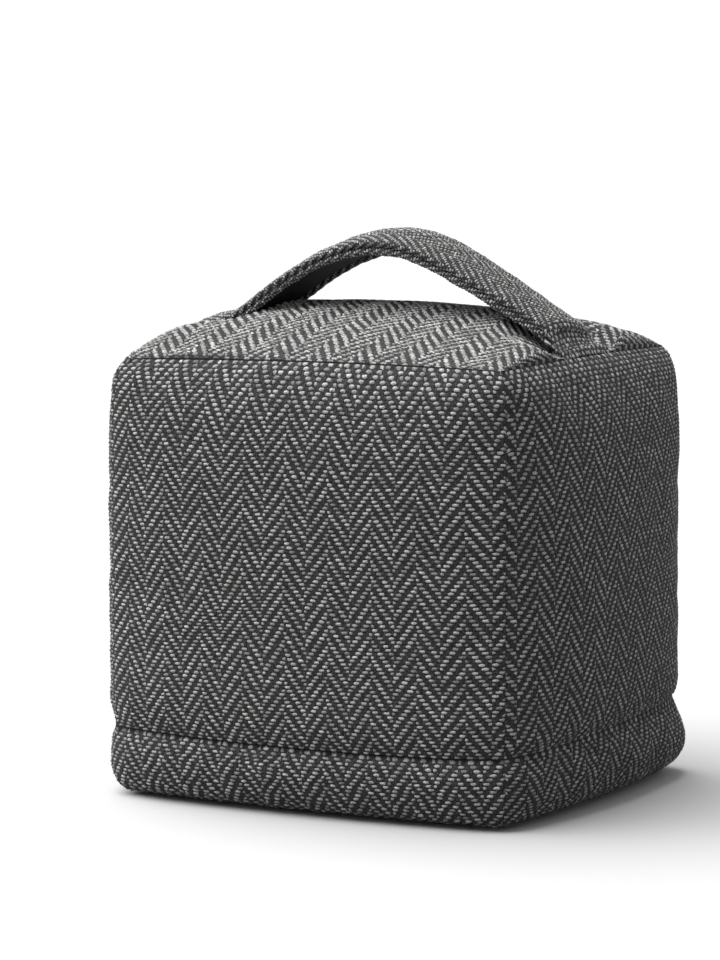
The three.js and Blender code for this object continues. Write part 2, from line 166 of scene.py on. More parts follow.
class ClothSizes(bpy.types.PropertyGroup):
    """Sizes of the herringbone cloth and of its seams."""

    warp: metres("Warp pitch", "One upright yarn", 0.000888, 6)
    pick: metres("Pick pitch", "One cross yarn", 0.001138, 6)
    stripe: IntProperty(name="Stripe", description="Upright yarns in one herringbone stripe", default=8)
    relief: metres("Relief", "Height of a float over the gaps", 0.0005, 6)
    seam_roll: metres("Seam roll", "Radius at which the cloth turns into a seam", 0.0007)
    seam_dip: metres("Seam dip", "Depth of the hollow beside a seam", 0.0004, 5)
    stitch: metres("Stitch", "Length of one stitch", 0.0034)
    pucker: metres("Pucker", "Depth of the pull of one stitch", 0.00022, 6)
    settle: metres("Settling", "How far the filling may move the cover", 0.0012)


class HandleSizes(bpy.types.PropertyGroup):
    """Sizes of the strap handle and its tape."""

    width: metres("Width", "Across the strap", 0.030)
    shift: metres("Shift", "Middle line of the strap, along Y", -0.004)
    apex: metres("Apex", "Highest point, along X", 0.004)
    tilt: metres("Tilt", "How much lower its back edge runs to the left", 0.0008)
    twist: FloatProperty(name="Twist", description="Growth of the tilt along its right half", default=0.1)
    thickness: metres("Thickness", "Through the rolled edges", 0.0048)
    crown: metres("Crown", "Swell between its edges", 0.0026)
    rise: metres("Rise", "Edges of the strap above the crown", 0.0196)
    foot_rise: metres("Foot rise", "Strap over the seam at its right foot", 0.006)
    left_rise: metres("Left foot rise", "The same at its left foot", 0.0045)
    bend: metres("Bend", "Roundness of the middle bend, right", 0.016)
    left_bend: metres("Left bend", "The same to the left", 0.020)
    left_fall: FloatProperty(name="Left fall", description="Slope of the straight part, left", default=0.60)
    fold: metres("Folded cloth", "Thickness beside the edges", 0.0024)
    roll: metres("Rolled edge", "Width of each rolled edge", 0.0036)
    tape: metres("Tape", "Thickness of the tape underneath", 0.0008)
    tightness: factor("Tightness", "Yarn pitch of the strap to that of the cover", 0.78)


class ClothColours(bpy.types.PropertyGroup):
    """Colours of the yarns and trimmings."""

    light: tint("Light yarn", "Cross yarn", (0.70, 0.70, 0.69))
    dark: tint("Dark yarn", "Upright yarn", (0.050, 0.050, 0.050))
    tape: tint("Tape", "Tape under the handle", (0.034, 0.034, 0.034))
    closure: tint("Closure", "Hook and loop strips", (0.016, 0.016, 0.016))
    fibre: tint("Fibre", "Filling", (0.78, 0.76, 0.72))
    film: tint("Film", "Weight bag", (0.42, 0.36, 0.27))


class StageSizes(bpy.types.PropertyGroup):
    """Camera, lamp and floor."""

    azimuth: FloatProperty(
        name="Azimuth", description="Camera round the object", default=0.48869, subtype="ANGLE"
    )
    elevation: FloatProperty(
        name="Elevation", description="Camera above the floor", default=0.12654, subtype="ANGLE"
    )
    distance: metres("Distance", "Camera from its aim", 1.495)
    lens: FloatProperty(name="Lens", description="Focal length", default=187.5, unit="CAMERA")
    aim: FloatVectorProperty(
        name="Aim",
        description="Point looked at",
        default=(-0.01126, -0.00225, 0.09095),
        subtype="TRANSLATION",
    )
    key: factor("Key", "Strength of the overhead lamp", 3.0)
    spread: FloatProperty(
        name="Spread", description="Angle that the overhead lamp takes up", default=1.4, subtype="ANGLE"
    )
    air: factor("Air", "Strength of the light all round", 0.36)
    bounce: factor("Bounce", "Share of light the floor gives back", 0.22)
    floor: metres("Floor", "Half the floor's width", 30.0)


def millimetres(group):
    """All sizes of a group by name, lengths in millimetres and the rest as they are."""
    sizes = {}
    for key, prop in group.bl_rna.properties.items():
        if key in group.__annotations__:
            value = getattr(group, key)
            sizes[key] = value * 1000.0 if getattr(prop, "unit", "NONE") == "LENGTH" else value
    return SimpleNamespace(**sizes)


def cover():
    return millimetres(bpy.context.scene.cover_sizes)


def cloth():
    return millimetres(bpy.context.scene.cloth_sizes)


def handle():
    return millimetres(bpy.context.scene.handle_sizes)


def smooth(x):
    """3x^2 - 2x^3 between 0 and 1, flat outside."""
    x = np.clip(x, 0.0, 1.0)
    return x * x * (3.0 - 2.0 * x)


def bell(x, reach):
    """Bell-shaped curve, exp(-(x / reach)^2)."""
    return np.exp(-((x / reach) ** 2))


def between(x, start, run, end, fade):
    """Rises smoothly from 0 to 1 over run from start, and falls back over fade from end."""
    return smooth((x - start) / run) * (1 - smooth((x - end) / fade))


def waves(x, y, size, seed, count=10):
    """Sum of plane waves of about the given size in seeded directions, from about -1 to 1."""
    rng = np.random.default_rng(seed)
    total = np.zeros(np.broadcast(x, y).shape)
    for _ in range(count):
        turn, phase, stretch = rng.uniform(0, 2 * np.pi), rng.uniform(0, 2 * np.pi), rng.uniform(0.7, 1.5)
        total += np.sin(2 * np.pi * stretch / size * (x * np.cos(turn) + y * np.sin(turn)) + phase)
    return total / np.sqrt(count)


def corner_scale(s, z):
    """Share of the base rectangle at height z: a constant, less an exponential each at the top and base seams
    and a bell-shaped pinch at the band seam."""
    top = 1 - s.top_inset * np.exp(-(s.height - z) / s.top_round)
    pinch = 1 - PINCH * bell(z - s.band_height - PINCH_RISE, PINCH_REACH)
    foot = 1 - s.foot_inset * np.exp(-(z - s.foot_height) / s.foot_round)
    return PLAN_SHARE * top * pinch * foot


def bulge(s, t, z):
    """Swell times 1 - t^2 plus shoulder times 1 - t^8, eased off towards the top and base seams."""
    under = TOP_BULGE + (1 - TOP_BULGE) * (1 - np.exp(-(s.height - z) / (TOP_EASE * s.height)))
    over = FOOT_BULGE + (1 - FOOT_BULGE) * (1 - np.exp(-(z - s.foot_height) / (FOOT_EASE * s.height)))
    return (s.swell * (1 - t * t) + s.shoulder * (1 - np.abs(t) ** 8)) * under * over


def band_at(s, x, y):
    """Height of the band seam: a smooth step up along the plan's diagonal."""
    return s.band_height + s.band_rise * smooth((x / s.width + y / s.depth + BAND_START) / BAND_RUN)


def settled(s, x, y, z):
    """Point pushed outwards in plan, most at the back right and a little above the floor."""
    push = s.slump * smooth(x / s.width + y / s.depth) * bell(z - SLUMP_HEIGHT, SLUMP_REACH)
    far = np.maximum(np.hypot(x, y), 1.0)
    return x + push * x / far, y + push * y / far


def halves(s, name):
    """Half the width of a side and how far out it stands."""
    wide = (s.width / 2, s.depth / 2)
    return wide if name in ("front", "back") else wide[::-1]


def seam_lift(s, x, y, t):
    """How far the top seam stands over its plain height: a low arch along each side and a tilt that only
    raises it, towards the front right corner."""
    return s.seam_rise * (1 - t * t) + s.seam_tilt * np.maximum(0, x / s.width - y / s.depth)


def height_share(s, z):
    """0 at the base seam and 1 at the top seam."""
    return (z - s.foot_height) / (s.height - s.foot_height)


def side_point(s, name, t, z):
    """Surface of a side: the corner rectangle at height z plus the bulge, drawn in at the band seam as a
    fourth power of the distance, and lifted along the top seam as a twelfth power of the height."""
    (ox, oy), (ax, ay) = SIDES[name]
    half, far = halves(s, name)
    scale = corner_scale(s, z)
    across = t * half * scale
    out = far * scale + bulge(s, t, z)
    seam = band_at(s, across * ax + out * ox, across * ay + out * oy)
    away = np.minimum(1.0, np.abs(z - seam) / s.groove_reach)
    out = out - s.seam_groove * (1 - away) ** 4 * (1 - np.abs(t) ** 16)
    x, y = across * ax + out * ox, across * ay + out * oy
    lift = seam_lift(s, x, y, t) * height_share(s, z) ** 12
    x, y = settled(s, x, y, z)
    return np.stack([x, y, z + lift], -1)


def band_seam(s, name, t):
    """Height of the band seam along a side."""
    (ox, oy), (ax, ay) = SIDES[name]
    half, far = halves(s, name)
    return band_at(s, t * half * ax + far * ox, t * half * ay + far * oy)


def seam_reach(s):
    """How far the top seam stands out along X at mid side."""
    return s.width / 2 * corner_scale(s, s.height) + bulge(s, 0.0, s.height)


def dome_along(p):
    """Share of the crown's rise along X, (1 - |p|^1.85)^0.3."""
    return np.maximum(1 - np.abs(p) ** DOME_X, 0) ** DOME_X_EDGE


def strap_outside(s, h, x):
    """Height of the strap's outer edges. To the right of its highest point they run down as a hyperbola to
    the right foot. To the left they do so, and then bend down further as a square until they lie on the
    crown."""
    top = s.height + s.crown + h.rise
    away = seam_reach(s) - h.apex
    fall = (s.crown + h.rise - h.foot_rise) / (np.hypot(away, h.bend) - h.bend)
    right = top - fall * (np.hypot(x - h.apex, h.bend) - h.bend)
    left = top - h.left_fall * (np.hypot(x - h.apex, h.left_bend) - h.left_bend)
    left = left - SAG * np.maximum(0, -x - SAG_START) ** 2
    crown = s.height + s.crown * UNDER_STRAP * dome_along(np.clip(x / seam_reach(s), -1, 1)) - SINK
    least = np.maximum(crown, s.height + h.left_rise - LEFT_DROP)
    left = (left + least + np.hypot(left - least, SINK_BEND)) / 2
    return np.where(x > h.apex, right, left)


def sewn_end(s, x):
    """0 along the strap, rising smoothly to 1 where its ends run into the seam."""
    return smooth((np.abs(x) - seam_reach(s) + SEWN_START) / SEWN_RUN)


def fullness(s, x):
    """Share of the strap's thickness kept at x: less to the left, and little where its ends are sewn."""
    kept = LEFT_FULL + (1 - LEFT_FULL) * smooth((x + FULL_START) / FULL_RUN)
    return kept * (1 - SEWN_THIN * sewn_end(s, x))


def tilt_drop(h, across, x):
    """How far the strap's tilt lowers a point across it. From nothing at the highest point it grows as a
    straight line to the right, and as one less an exponential to the left."""
    away = x - h.apex
    tilt = np.where(away > 0, h.twist * away, h.tilt * (1 - np.exp(-np.abs(away) / TILT_RUN)))
    return tilt * np.clip(across / h.width, -0.5, 0.5)


def strap_line(s, h, x, y):
    """Height of the strap over a point of the plan, level with its edges. The last millimetres of its ends
    lie on the top seam and tuck into it."""
    past = np.abs(x) - seam_reach(s)
    line = strap_outside(s, h, x) - tilt_drop(h, y - h.shift, x)
    seam = s.height + seam_lift(s, x, y, 2 * y / s.depth) + SEWN_RISE
    seam = seam - SEWN_TUCK * smooth(past / TUCK_RUN + 1)
    return line + (seam - line) * sewn_end(s, x)


def strap_inside(s, h, x, y):
    """Height of the strap's inner face over a point of the plan."""
    slope = (strap_outside(s, h, x + 0.5) - strap_outside(s, h, x - 0.5)) * (np.abs(x) < seam_reach(s) - 1)
    return strap_line(s, h, x, y) - h.thickness * fullness(s, x) * np.hypot(1, slope)


def plan_point(s, p, q, z):
    """Plan of the top or the base at height z, p along X and q along Y from -1 to 1. The bulge comes in from
    the middle as a third power."""
    scale = corner_scale(s, z)
    x = p * (s.width / 2 * scale + bulge(s, q, z) * np.abs(p) ** 3)
    y = q * (s.depth / 2 * scale + bulge(s, p, z) * np.abs(q) ** 3)
    return x, y


def top_point(s, h, p, q):
    """Crowned top: a dome of (1 - |p|^1.85)^0.3 times (1 - |q|^1.7)^0.8, with a rim that follows the top
    seam, pressed down under the strap."""
    x, y = plan_point(s, p, q, s.height)
    most, least = np.maximum(np.abs(p), np.abs(q)), np.minimum(np.abs(p), np.abs(q))
    lift = seam_lift(s, x, y, least)
    dome = dome_along(p) * np.maximum(1 - np.abs(q) ** DOME_Y, 0) ** DOME_Y_EDGE
    z = s.height + s.crown * dome + lift * most**6
    dent = DENT * between(x, *DENT_PLACE)
    pressed = np.maximum(strap_inside(s, h, x, y) - TAPE_ROOM - dent, s.height + lift + LEAST_RISE)
    beside = np.abs(y - h.shift) - h.width / 2 - 1
    under = 1 - smooth(beside / np.where(x > 0, RIGHT_REACH, LEFT_REACH))
    return np.stack([x, y, z - np.maximum(z - pressed, 0) * under], -1)


def base_point(s, p, q):
    """Underside: flat on the floor, curving up as a square to the base seam at its rim."""
    x, y = plan_point(s, p, q, s.foot_height)
    rim = np.maximum(0, np.maximum(np.abs(p), np.abs(q)) - s.flat_share) / (1 - s.flat_share)
    x, y = settled(s, x, y, np.full_like(x, s.foot_height))
    return np.stack([x, y, s.foot_height * rim**2], -1)


def float_height(along, across, size):
    """Round float: the root of 1 - |along|^3 - |across|^2.2, each counted in the float's half sizes."""
    ends, flanks = np.abs(along / size[0]) ** FLOAT_ENDS, np.abs(across / size[1]) ** FLOAT_FLANKS
    return np.sqrt(np.clip(1 - ends - flanks, 0, 1))


def weave_height(u, v, stripe):
    """Height of a broken 2/2 herringbone at yarn counts u and v. Each light float lies over two upright yarns
    and each dark one over two cross yarns. At each stripe the twill turns and skips two cross yarns."""
    odd = np.floor(u / stripe) % 2
    turned = np.where(odd == 0, u, -u)
    along_weft = np.mod(turned + np.floor(v) + 2 * odd, 4) - 1
    along_warp = np.mod(np.floor(turned) + v + 2 * odd, 4) - 3
    weft = float_height(along_weft, np.mod(v, 1) - 0.5, LIGHT_FLOAT)
    warp = float_height(along_warp, np.mod(u, 1) - 0.5, DARK_FLOAT)
    return np.maximum(weft, DARK_HEIGHT * warp)


def unit(v):
    """Vectors brought to length 1."""
    return v / np.maximum(np.linalg.norm(v, axis=-1, keepdims=True), 1e-9)


def outward(points):
    """Unit normals of a grid: its column step crossed with its row step."""
    return unit(np.cross(np.gradient(points, axis=1), np.gradient(points, axis=0)))


def lengths(points, axis):
    """Length along the surface from the low border of a grid, along rows or columns."""
    steps = np.linalg.norm(np.diff(points, axis=axis), axis=-1)
    pad = [(1, 0), (0, 0)] if axis == 0 else [(0, 0), (1, 0)]
    return np.pad(np.cumsum(steps, axis=axis), pad)


def curved(grid, rows, columns):
    """Cubic B-spline through a coarse grid of vectors, read at row and column positions from 0 to 1."""
    count = np.array(grid.shape[:2]) - 1

    def weights(share, cells):
        place = np.clip(share, 0, 1) * cells
        first = np.minimum(np.floor(place).astype(int), cells - 1)
        f = place - first
        w = [(1 - f) ** 3, 3 * f**3 - 6 * f**2 + 4, -3 * f**3 + 3 * f**2 + 3 * f + 1, f**3]
        return [(np.clip(first + k - 1, 0, cells), w[k] / 6) for k in range(4)]

    total = np.zeros(rows.shape + (grid.shape[2],))
    for row, weight_row in weights(rows, count[0]):
        for column, weight_column in weights(columns, count[1]):
            total += grid[row, column] * (weight_row * weight_column)[..., None]
    return total


def dressed(points, u, v, seams, seed, pull=1.0):
    """Sewn and woven surface from a smooth grid of points and its yarn counts: the cloth rolls in along a
    quarter circle at its seams, dips and puckers beside them, and carries the relief of its weave. seams
    tells for the low rows, high rows, low columns and high columns whether that border is a seam, and pull
    how high its floats stand. Past each seam a narrow strip is tucked in towards the middle of the cube. The
    painted seam shade given back with it is 1 at a seam and falls off as a bell."""
    c = cloth()
    normal = outward(points)
    inwards = unit(CENTRE - points)
    up, across = lengths(points, 0), lengths(points, 1)
    edges = [up, up[-1:] - up, across, across[:, -1:] - across]
    far = np.full(up.shape, 1e3)
    beside = np.zeros(up.shape)
    for edge, run, sewn in zip(edges, (across, across, up, up), seams):
        if sewn:
            far = np.minimum(far, edge)
            stitches = (1 + np.cos(2 * np.pi * run / c.stitch)) / 2
            beside += c.pucker * stitches * np.exp(-edge / STITCH_REACH)
            beside += c.seam_dip * np.exp(-edge / DIP_REACH)
            crease = waves(run, edge * 0.5, CREASE_SIZE, seed) * smooth(edge / 2)
            beside += CREASE * crease * np.exp(-edge / CREASE_REACH)
    near = np.minimum(far, c.seam_roll)
    roll = c.seam_roll - np.sqrt(np.maximum(c.seam_roll**2 - (c.seam_roll - near) ** 2, 0))
    relief = pull * c.relief * (weave_height(u, v, c.stripe) - MID_HEIGHT) * smooth(far / WEAVE_IN)
    relief += UNEVEN * waves(across, up, UNEVEN_SIZE, seed + 1) * smooth(far / SWELLS_IN)
    height = relief - beside * smooth(far / HOLLOWS_IN)
    result = points + normal * height[..., None] + inwards * roll[..., None]
    low_row, high_row, low_column, high_column = [int(sewn) for sewn in seams]
    pad = [(low_row, high_row), (low_column, high_column)]
    padded = np.pad(result, pad + [(0, 0)], mode="edge")
    push = np.pad(inwards, pad + [(0, 0)], mode="edge") * TUCK
    ring = np.pad(np.zeros(points.shape[:2], bool), pad, constant_values=True)
    padded[ring] += push[ring]
    # Painted shade along each seam: 1 at the seam and in the tucked strip, falling off as a bell of wandering
    # width.
    change = waves(across + points[..., 0], up + points[..., 2], SEAM_SHADE_SIZE, seed + 2)
    width = np.maximum(SEAM_SHADE_WIDTH + SEAM_SHADE_CHANGE * change, SEAM_SHADE_LEAST)
    shade = np.pad(bell(far, width), pad, constant_values=1.0)
    u, v = np.pad(u, pad, mode="edge"), np.pad(v, pad, mode="edge")
    for axis, run, pitch in ((0, v, c.pick), (1, u, c.warp)):
        lines = np.swapaxes(run, 0, axis)
        for border, inner, sewn in ((0, 4, pad[axis][0]), (-1, -5, pad[axis][1])):
            if sewn:
                lines[border] += np.sign(lines[border] - lines[inner]) * TUCK / pitch
    return padded, u, v, shade


def cell_corners(numbers):
    """The four corners of each cell of a grid of numbers, in order round it."""
    low, high = numbers[..., :-1, :], numbers[..., 1:, :]
    return np.stack([low[..., :-1], low[..., 1:], high[..., 1:], high[..., :-1]], -1)


def plain_object(name, corners, faces):
    """Object of flat faces over corners in millimetres."""
    mesh = bpy.data.meshes.new(name)
    mesh.from_pydata((np.asarray(corners) * MM).tolist(), [], np.asarray(faces).tolist())
    mesh.update()
    piece = bpy.data.objects.new(name, mesh)
    bpy.context.scene.collection.objects.link(piece)
    return piece


def cloth_object(name, points, u, v, material, nodes, shade=None, around=False):
    """Mesh object from a grid of points in millimetres, with its yarn counts as the UV map and the painted
    shade of its seams as an attribute, standing in for nodes of the frame. around joins the last column to
    the first."""
    rows, columns = points.shape[:2]
    index = np.arange(rows * columns).reshape(rows, columns)
    if around:
        index = np.concatenate([index, index[:, :1]], 1)
    quads = cell_corners(index).reshape(-1, 4)
    if around:
        u = np.concatenate([u, 2 * u[:, -1:] - u[:, -2:-1]], 1)
        v = np.concatenate([v, v[:, -1:]], 1)
    corners = cell_corners(np.arange(u.size).reshape(u.shape)).ravel()
    mesh = bpy.data.meshes.new(name)
    mesh.vertices.add(rows * columns)
    mesh.vertices.foreach_set("co", (points.reshape(-1, 3) * MM).astype(np.float32).ravel())
    mesh.loops.add(quads.size)
    mesh.loops.foreach_set("vertex_index", quads.ravel().astype(np.int32))
    mesh.polygons.add(len(quads))
    mesh.polygons.foreach_set("loop_start", np.arange(0, quads.size, 4, dtype=np.int32))
    mesh.polygons.foreach_set("use_smooth", np.ones(len(quads), bool))
    layer = mesh.uv_layers.new(name="yarns")
    yarns = np.stack([u.ravel(), v.ravel()], -1)[corners]
    layer.data.foreach_set("uv", yarns.astype(np.float32).ravel())
    mesh.update(calc_edges=True)
    mesh.validate()
    if shade is not None:
        # Painted shade of the seams, read by the cloth material.
        dark = mesh.attributes.new("seam_shade", "FLOAT", "POINT")
        dark.data.foreach_set("value", shade.astype(np.float32).ravel())
    mesh.materials.append(material)
    piece = bpy.data.objects.new(name, mesh)
    bpy.context.scene.collection.objects.link(piece)
    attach(piece, "root")
    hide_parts(*nodes)
    return piece


class Recipe:
    """Shader nodes of a material or of the air, added and joined one after another."""

    def __init__(self, owner, output="ShaderNodeOutputMaterial"):
        owner.use_nodes = True
        self.owner = owner
        self.tree = owner.node_tree
        self.tree.nodes.clear()
        self.output = self.node(output)

    def node(self, kind, **settings):
        made = self.tree.nodes.new(kind)
        for key, value in settings.items():
            setattr(made, key, value)
        return made

    def feed(self, socket, value):
        if isinstance(value, bpy.types.NodeSocket):
            self.tree.links.new(value, socket)
        else:
            socket.default_value = value

    def fed(self, kind, values, **settings):
        """First output of a new node whose inputs are fed in their order."""
        made = self.node(kind, **settings)
        for socket, value in zip(made.inputs, values):
            self.feed(socket, value)
        return made.outputs[0]

    def math(self, operation, *values):
        return self.fed("ShaderNodeMath", values, operation=operation)

    def joined(self, *values):
        return self.fed("ShaderNodeCombineXYZ", values)

    def ramp(self, value, low, high, first=0.0, last=1.0):
        """Smooth step from first to last as the value runs from low to high."""
        given = (value, low, high, first, last)
        return self.fed("ShaderNodeMapRange", given, interpolation_type="SMOOTHSTEP")

    def place(self):
        """Object coordinates."""
        return self.node("ShaderNodeTexCoord").outputs["Object"]

    def yarns(self):
        """Counts of upright and of cross yarns, from the UV map."""
        split = self.node("ShaderNodeSeparateXYZ")
        self.feed(split.inputs[0], self.node("ShaderNodeUVMap", uv_map="yarns").outputs[0])
        return split.outputs[0], split.outputs[1]

    def noise(self, vector, scale, detail=2.0, roughness=0.5):
        made = self.node("ShaderNodeTexNoise")
        given = {"Vector": vector, "Scale": scale, "Detail": detail, "Roughness": roughness}
        for key, value in given.items():
            self.feed(made.inputs[key], value)
        return made.outputs

    def mix(self, share, first, second, blend="MIX"):
        made = self.node("ShaderNodeMix", data_type="RGBA", blend_type=blend)
        self.feed(made.inputs[0], share)
        self.feed(made.inputs[6], first)
        self.feed(made.inputs[7], second)
        return made.outputs[2]

    def bump(self, height, strength, distance, normal=None):
        made = self.node("ShaderNodeBump")
        self.feed(made.inputs["Strength"], strength)
        self.feed(made.inputs["Distance"], distance)
        self.feed(made.inputs["Height"], height)
        if normal is not None:
            self.feed(made.inputs["Normal"], normal)
        return made.outputs[0]

    def surface(self, colour, roughness, normal, sheen=0.0, specular=0.5):
        made = self.node("ShaderNodeBsdfPrincipled")
        made.inputs["Sheen Weight"].default_value = sheen
        made.inputs["Sheen Roughness"].default_value = 0.5
        made.inputs["Specular IOR Level"].default_value = specular
        self.feed(made.inputs["Base Color"], colour)
        self.feed(made.inputs["Roughness"], roughness)
        self.feed(made.inputs["Normal"], normal)
        self.tree.links.new(made.outputs[0], self.output.inputs["Surface"])
        return self.owner


def recipe(name):
    """Empty recipe for a new material."""
    return Recipe(bpy.data.materials.new(name))


def opaque(colour, share=1.0):
    return (colour[0] * share, colour[1] * share, colour[2] * share, 1.0)


def herringbone_material(name, light, dark, stripe, blur, gain):
    """Woven herringbone by yarn counts from the UV map: light cross floats over two dark upright yarns, with
    outlines as fuzzy as blur says, a tone of its own for each float, as bright as gain says, and fibres along
    each yarn. Each float is painted darker towards its ends and flanks, as shade where it dips under the
    other yarns, and the seam_shade attribute paints shade along the seams. A gain over 1 paints light over
    a whole piece and one under 1 paints shade."""
    fuzz_scale, grain_scale, hair_scale = 1500.0, 2300.0, 420.0
    fuzz_u, fuzz_v = 0.7 * blur, 0.5 * blur  # widest shift of an outline, in yarns
    fibre_scale, fibre_along, fibre_across = 1.6, 1.1, 6.5
    hair_width, hair_share = 0.016, 0.26
    # Near-black colour and share of the painted shade along the seams.
    painted_shade_colour, painted_shade_share = (0.004, 0.004, 0.004, 1.0), 0.85

    m = recipe(name)
    place = m.place()
    plain_u, plain_v = m.yarns()
    fuzz = m.node("ShaderNodeSeparateColor")
    m.feed(fuzz.inputs[0], m.noise(place, fuzz_scale, 3.0, 0.65)[1])
    u = m.math("ADD", plain_u, m.math("MULTIPLY_ADD", fuzz.outputs[0], fuzz_u, -fuzz_u / 2))
    v = m.math("ADD", plain_v, m.math("MULTIPLY_ADD", fuzz.outputs[1], fuzz_v, -fuzz_v / 2))
    column = m.math("FLOOR", m.math("DIVIDE", plain_u, float(stripe)))
    odd = m.math("FLOORED_MODULO", column, 2.0)
    turned = m.math("MULTIPLY", u, m.math("MULTIPLY_ADD", odd, -2.0, 1.0))
    pick = m.math("FLOOR", v)
    count = m.math("MULTIPLY_ADD", odd, 2.0, m.math("ADD", turned, pick))
    along_weft = m.math("SUBTRACT", m.math("FLOORED_MODULO", count, 4.0), 1.0)
    whole = m.math("MULTIPLY_ADD", odd, 2.0, m.math("ADD", m.math("FLOOR", turned), v))
    along_warp = m.math("SUBTRACT", m.math("FLOORED_MODULO", whole, 4.0), 3.0)

    def yarn(along, across, size):
        """Round float, with the formula of float_height."""
        middle = m.math("SUBTRACT", m.math("FRACT", across), 0.5)
        ends = m.math("POWER", m.math("ABSOLUTE", m.math("DIVIDE", along, size[0])), FLOAT_ENDS)
        flanks = m.math("POWER", m.math("ABSOLUTE", m.math("DIVIDE", middle, size[1])), FLOAT_FLANKS)
        rest = m.math("SUBTRACT", m.math("SUBTRACT", 1.0, ends), flanks)
        return m.math("SQRT", m.math("MAXIMUM", rest, 0.0))

    def strands(scale_u, scale_v):
        """Noise drawn out along one of the yarns."""
        stretched = m.joined(m.math("MULTIPLY", plain_u, scale_u), m.math("MULTIPLY", plain_v, scale_v))
        return m.noise(stretched, fibre_scale, 3.0, 0.7)[0]

    weft = yarn(along_weft, v, LIGHT_PATCH)
    warp = yarn(along_warp, u, DARK_PATCH)
    height = m.math("MAXIMUM", weft, m.math("MULTIPLY", warp, DARK_HEIGHT))
    fibres, threads = strands(fibre_along, fibre_across), strands(fibre_across, fibre_along)
    grain = m.noise(place, grain_scale, 2.0, 0.6)[0]

    chance = m.node("ShaderNodeTexWhiteNoise", noise_dimensions="3D")
    m.feed(chance.inputs[0], m.joined(m.math("FLOOR", m.math("DIVIDE", count, 4.0)), pick, column))
    own = m.math("MULTIPLY_ADD", chance.outputs[0], 0.80 * gain, 0.58 * gain)
    tone = m.math("MULTIPLY", own, m.ramp(fibres, 0.25, 0.75, 0.68, 1.22))
    tone = m.math("MULTIPLY", tone, m.ramp(grain, 0.3, 0.7, 0.66, 1.24))
    # Painted shade: each light float darker towards its ends and flanks, where it dips under the upright
    # yarns.
    tone = m.math("MULTIPLY", tone, m.ramp(weft, 0.05, 0.8, 0.5, 1.0))
    light_yarn = m.mix(1.0, opaque(light), tone, "MULTIPLY")
    # Painted shade as well: each dark float darker towards its ends and flanks.
    dull = m.math("MULTIPLY", m.ramp(threads, 0.3, 0.72, 0.5, 2.0), m.ramp(warp, 0.0, 0.8, 0.6, 1.0))
    dull = m.math("MULTIPLY", dull, m.ramp(grain, 0.35, 0.7, 0.6 * gain, 1.8 * gain))
    dark_yarn = m.mix(1.0, opaque(dark), dull, "MULTIPLY")
    colour = m.mix(m.ramp(weft, 0.02, 0.3), dark_yarn, light_yarn)

    hair = m.math("ABSOLUTE", m.math("SUBTRACT", m.noise(place, hair_scale, 4.0, 0.6)[0], 0.5))
    loose = m.math("MULTIPLY", m.ramp(hair, 0.0, hair_width, 1.0, 0.0), hair_share)
    colour = m.mix(loose, colour, opaque(light, 0.6))
    # Painted shade along the seams: the colour is drawn towards near black as the seam_shade attribute says.
    sewn = m.node("ShaderNodeAttribute", attribute_name="seam_shade").outputs["Fac"]
    colour = m.mix(m.math("MULTIPLY", sewn, painted_shade_share), colour, painted_shade_colour)

    rough = m.bump(m.math("ADD", fibres, threads), 0.35, 0.00012)
    normal = m.bump(height, 0.9, 0.00035, rough)
    return m.surface(colour, m.ramp(fibres, 0.3, 0.7, 0.82, 0.95), normal, sheen=0.12, specular=0.22)


def tape_material(name, colour):
    """Fine ribs across the tape, two to a millimetre, with small changes of tone."""
    m = recipe(name)
    across, along = m.yarns()
    ribs, ends = [m.math("SINE", m.math("MULTIPLY", run, 4 * np.pi)) for run in (along, across)]
    patches = m.noise(m.place(), 260.0, 4.0, 0.6)[0]
    shade = m.mix(m.ramp(patches, 0.3, 0.7), opaque(colour, 0.75), opaque(colour, 1.3))
    normal = m.bump(m.math("MULTIPLY", ribs, ends), 0.25, 0.0001)
    return m.surface(shade, m.ramp(patches, 0.3, 0.7, 0.7, 0.85), normal, specular=0.25)


def fibre_material(name, colour):
    """Matted fibres: stretched noise in colour and bump."""
    m = recipe(name)
    place = m.place()
    stretched = m.fed("ShaderNodeVectorMath", (place, (1.0, 0.35, 1.8)), operation="MULTIPLY")
    strands = m.noise(stretched, 900.0, 5.0, 0.7)[0]
    clumps = m.noise(place, 90.0, 3.0, 0.55)[0]
    shade = m.mix(m.ramp(strands, 0.3, 0.7), opaque(colour, 0.75), opaque(colour))
    normal = m.bump(strands, 0.5, 0.0006, m.bump(clumps, 0.5, 0.003))
    return m.surface(shade, m.ramp(clumps, 0.3, 0.7, 0.88, 0.98), normal, sheen=0.2, specular=0.2)


def pile_material(name, colour, scale):
    """Short pile of a closure strip: round cells, lighter at their tips, with painted shade in the gap
    between them.
    """
    m = recipe(name)
    place = m.place()
    cells = m.node("ShaderNodeTexVoronoi")
    m.feed(cells.inputs["Vector"], place)
    m.feed(cells.inputs["Scale"], scale)
    tips = m.ramp(cells.outputs["Distance"], 0.1, 0.6, 1.0, 0.0)
    # Painted shade in the gaps between the cells, lighter at their tips.
    shade = m.mix(tips, opaque(colour, 0.6), opaque(colour, 1.6))
    return m.surface(shade, m.ramp(tips, 0.0, 1.0, 0.9, 0.7), m.bump(tips, 0.6, 0.0005), specular=0.3)


